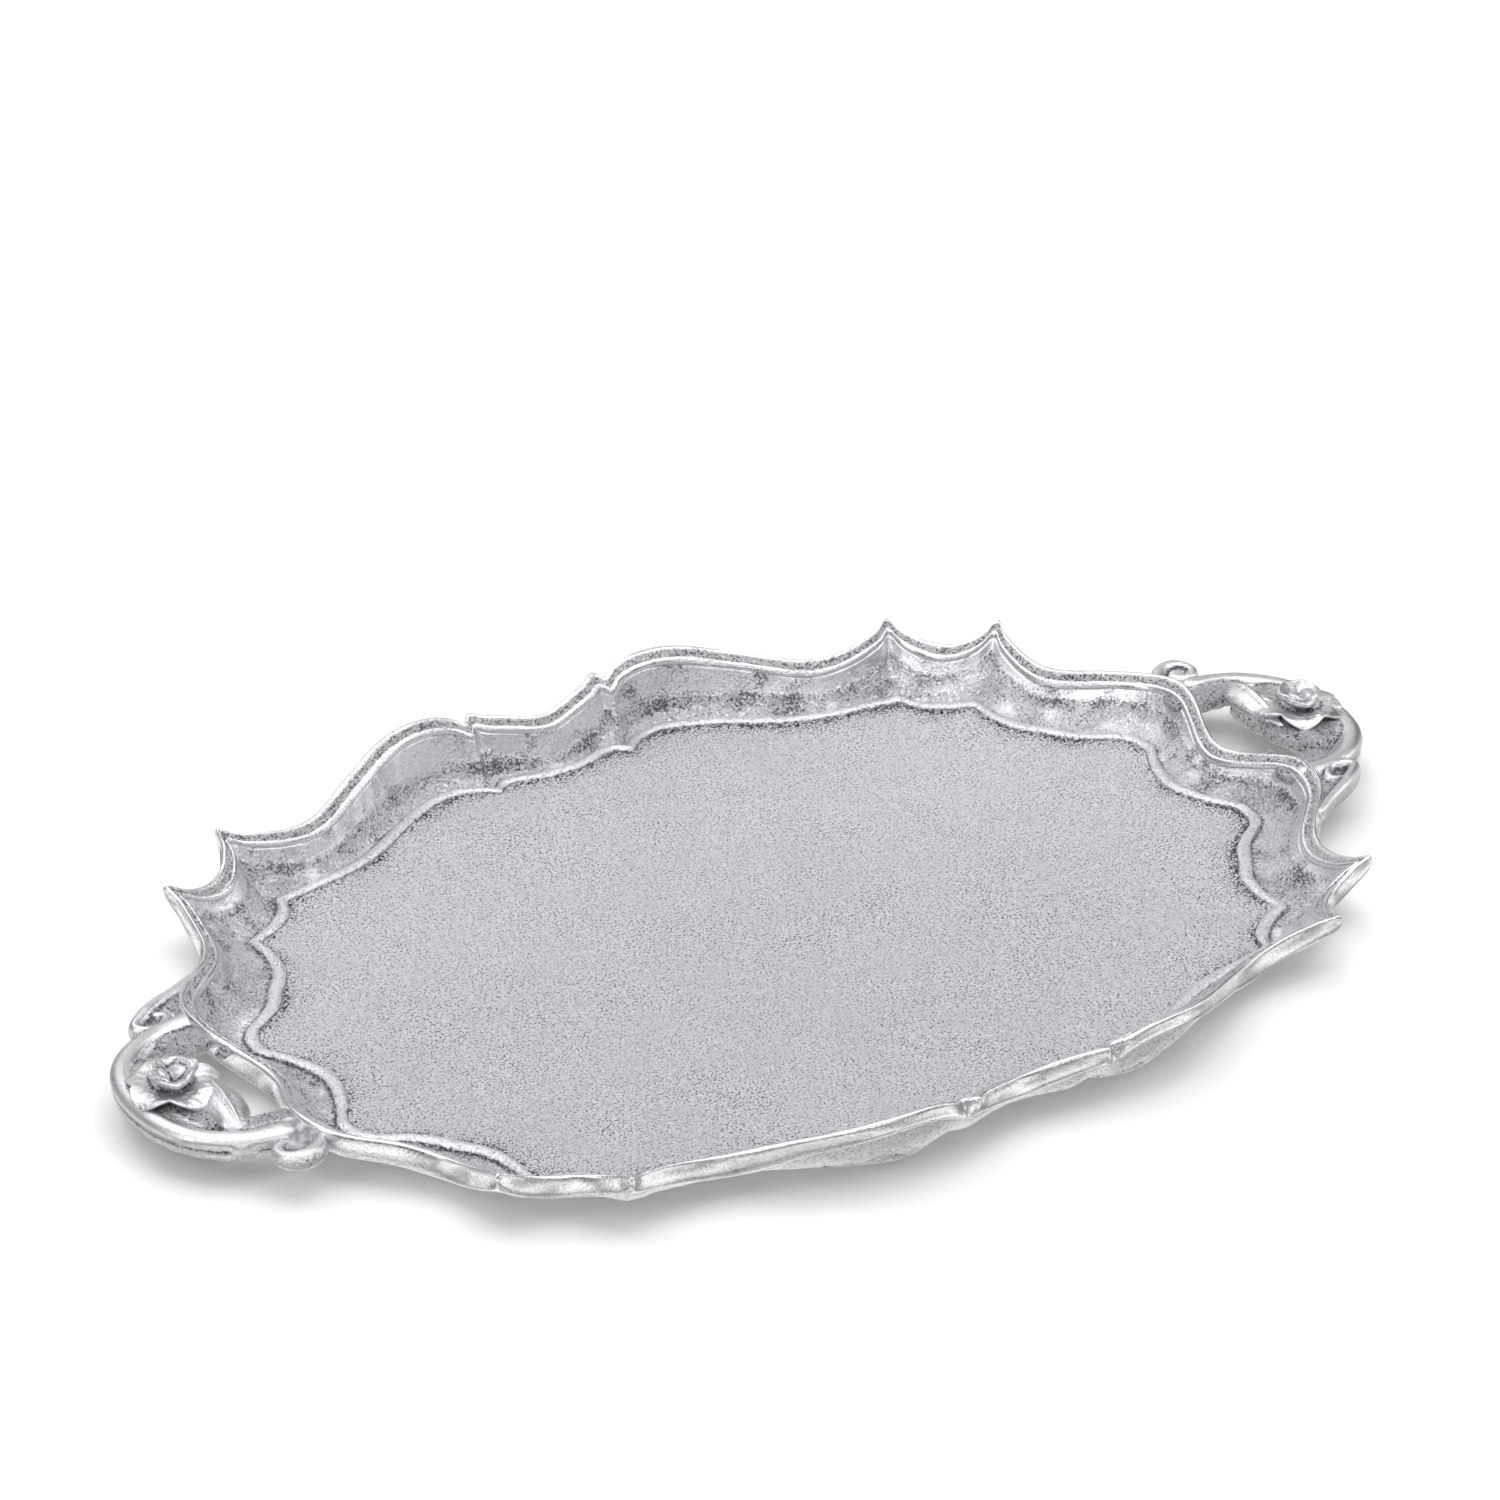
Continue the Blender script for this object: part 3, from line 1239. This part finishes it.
@dataclass
class RoseOrnament(CastPiece):
    """Open rose on the handle's bed: outer petals, folded inner petals and a cleft bud."""

    middle: tuple[float, float, float] = (264.0, -2.0, 20.4)
    outer_petals: int = 5
    outer_length: float = 19.0
    outer_width: float = 18.5
    inner_length: float = 13.0
    inner_width: float = 14.5
    inner_turns: Share2 = ((75.0, 32.0), (165.0, 38.0), (255.0, 30.0), (345.0, 36.0))
    voxel: float = 0.0004

    def shells(self) -> list[Surface]:
        """Petals about the middle, each a blade turned and tipped."""
        x, y, z = self.middle
        made = []
        for k in range(self.outer_petals):
            turn = 360.0 * k / self.outer_petals + 20.0 + (4.0 if k % 2 else -3.0)
            petal = blade(self.outer_length, self.outer_width, 3.2, 2.4, 4.6, 4.0, 0.0)
            made.append(placed(petal, (x, y, z - 0.8), turn))
        for k, (turn, tip) in enumerate(self.inner_turns):
            petal = blade(self.inner_length, self.inner_width, 3.0, 3.4, 2.2, 1.6, 0.0)
            made.append(placed(petal, (x + 0.8 * math.cos(k), y + 0.5, z), turn, tip))
        made.append(pillow(np.array([x - 3.4, y - 1.0, z + 3.6]), (3.6, 5.6, 5.0), 25.0))
        made.append(pillow(np.array([x + 3.8, y - 2.6, z + 3.2]), (3.7, 5.6, 5.0), -15.0))
        return made

    def build(self, material: bpy.types.Material) -> bpy.types.Object:
        """Melt the petals together and darken the folds.

        Args:
            material: the ornament's finish.

        Returns:
            The piece.
        """
        points, normals, quads, hollow = self.melted(self.shells(), self.voxel, 2, 16)
        cavity = np.clip(hollow / 0.22 - 0.1, 0.0, 1.0)
        buffed = np.clip(0.9 - 1.1 * cavity, 0.0, 1.0)
        relief = (0.16 * cast_noise(points, 1.8 * MM, 83, 2)
                  + 0.18 * cast_noise(points, 5.0 * MM, 89, 2))
        points = points + normals * (relief * MM)[:, None]
        surface = Surface(points, [quads], {"buffed": buffed, "cavity": cavity})
        return self.finished("rose_bloom", "rose", "ornament_metal", surface, material)


@dataclass
class LeafOrnament(CastPiece):
    """Smooth folded leaf beside the rose, on the finger side of the bed."""

    root: tuple[float, float, float] = (250.0, -11.0, 19.0)
    length: float = 46.0
    width: float = 17.0
    turn: float = 83.0
    voxel: float = 0.00035

    def build(self, material: bpy.types.Material) -> bpy.types.Object:
        """A blade with a midrib, laid along the bed.

        Args:
            material: the ornament's finish.

        Returns:
            The piece.
        """
        leaf = blade(self.length, self.width, 6.0, -2.2, 3.0, 6.0, 1.1)
        leaf = placed(leaf, self.root, self.turn, 2.0)
        points, normals, quads, hollow = self.melted([leaf], self.voxel, 1, 12)
        cavity = np.clip(hollow / 0.15, 0.0, 1.0)
        points = points + normals * (0.14 * cast_noise(points, 4.0 * MM, 97, 2) * MM)[:, None]
        surface = Surface(points, [quads],
                          {"buffed": np.clip(0.95 - cavity, 0, 1), "cavity": cavity})
        return self.finished("leaf_spray", "leaf", "ornament_metal", surface, material)


# ---------------------------------------------------------------------------
# studio
# ---------------------------------------------------------------------------

@dataclass
class Studio:
    """White floor, soft overhead light with darker gaps, and the camera."""

    lens: float = 126.04
    azimuth: float = -34.146
    elevation: float = 28.779
    distance: float = 2.1386
    aim: Point = (0.0493, 0.0872, 0.0267)
    sheet_half: float = 6.0
    sheet_drop: float = 0.0005
    sky_strength: float = 0.86
    # height and brightness of the sky's stops
    sky: Share2 = ((0.0, 1.0), (0.05, 0.36), (0.30, 0.2), (0.52, 0.62), (0.75, 1.0), (1.0, 1.0))
    # name, place, width and depth, and watts of each soft box
    boxes: tuple[tuple[str, Point, tuple[float, float], float], ...] = (
        ("overhead", (0.1, 0.05, 1.9), (3.2, 2.0), 26.5),
        ("left_window", (-1.9, -0.2, 1.0), (0.5, 1.4), 6.0),
        ("right_window", (1.9, -0.5, 1.0), (0.5, 1.2), 6.0),
        ("front_window", (-0.8, -1.9, 1.1), (1.6, 0.3), 5.0),
        ("back_strip", (0.8, 2.0, 1.1), (3.2, 1.4), 9.0))

    def camera(self) -> None:
        """Camera on a sphere about its aim, upright."""
        data = bpy.data.cameras.new("camera")
        data.lens, data.sensor_width = self.lens, 36.0
        data.clip_start, data.clip_end = 0.05, 50.0
        cam = bpy.data.objects.new("camera", data)
        bpy.context.scene.collection.objects.link(cam)
        az, el = math.radians(self.azimuth), math.radians(self.elevation)
        back = Vector((math.sin(az) * math.cos(el), -math.cos(az) * math.cos(el), math.sin(el)))
        cam.location = Vector(self.aim) + back * self.distance
        cam.rotation_mode = "QUATERNION"
        cam.rotation_quaternion = (-back).to_track_quat("-Z", "Y")
        bpy.context.scene.camera = cam

    def floor(self) -> None:
        """Large white sheet under the tray."""
        low = -self.sheet_drop
        corner = np.array([[-1, -1, 0], [1, -1, 0], [1, 1, 0], [-1, 1, 0]]) * self.sheet_half
        surface = Surface(corner + [0, 0, low], [np.array([[0, 1, 2, 3]])])
        sheet = mesh_object("studio_floor", surface)
        material, shader = new_material("white_paper")
        shader.inputs["Base Color"].default_value = (0.93, 0.93, 0.93, 1.0)
        shader.inputs["Roughness"].default_value = 0.9
        shader.inputs["Specular IOR Level"].default_value = 0.1
        sheet.data.materials.append(material)
        sheet.visible_glossy = False

    def area(self, name: str, place: Point, size: tuple[float, float], power: float) -> None:
        """Rectangular soft box that faces the middle of the tray."""
        data = bpy.data.lights.new(name, "AREA")
        data.shape, data.size, data.size_y, data.energy = "RECTANGLE", size[0], size[1], power
        light = bpy.data.objects.new(name, data)
        bpy.context.scene.collection.objects.link(light)
        light.location = place
        light.rotation_mode = "QUATERNION"
        light.rotation_quaternion = (-Vector(place)).to_track_quat("-Z", "Y")

    def world(self) -> None:
        """Sky that is bright overhead and greyer low down, with soft dark flags."""
        world = bpy.data.worlds.new("studio")
        bpy.context.scene.world = world
        world.use_nodes = True
        net = Wiring(world.node_tree)
        place = net.node("TexCoord", {}).outputs["Generated"]
        height = net.node("SeparateXYZ", {"Vector": place}).outputs["Z"]
        ramp = net.node("ValToRGB", {"Fac": height})
        ends = ramp.color_ramp.elements
        for element, (at, value) in zip((ends[0], ends[1]), (self.sky[0], self.sky[-1])):
            element.position, element.color = at, (value, value, value, 1.0)
        for at, value in self.sky[1:-1]:
            ends.new(at).color = (value, value, value * 1.01, 1.0)
        flags = net.ramp(net.noise(place, 3.1, 1.0), 0.46, 0.55, 0.16, 1.8)
        back = world.node_tree.nodes["Background"]
        net.link(net.mix(1.0, ramp.outputs["Color"], flags, "MULTIPLY"), back.inputs["Color"])
        net.link(self.sky_strength, back.inputs["Strength"])

    def build(self) -> None:
        """Set up everything round the tray."""
        self.camera()
        self.floor()
        self.world()
        for name, place, size, power in self.boxes:
            self.area(name, place, size, power)
        bpy.context.scene.view_settings.view_transform = "Standard"


def main() -> None:
    """Build the tray piece by piece, then the studio, and keep both boxes."""
    logging.basicConfig(level=logging.INFO, format="%(name)s %(message)s")
    Studio().build()
    shop = FinishShop()
    ring = TrayPlan().ring()
    FloorPlate().build(ring, shop.material(FLOOR_FINISH))
    Border().build(ring, shop.material(BORDER_FINISH))
    RimMoulding().build(ring, shop.material(RIM_FINISH))
    handle_metal = shop.material(HANDLE_FINISH)
    ornament_metal = shop.material(ORNAMENT_FINISH)
    for side in Side:
        ScrollHandle(side).build(handle_metal)
        RoseOrnament(side).build(ornament_metal)
        LeafOrnament(side).build(ornament_metal)
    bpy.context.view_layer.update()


if __name__ == "__main__":
    main()
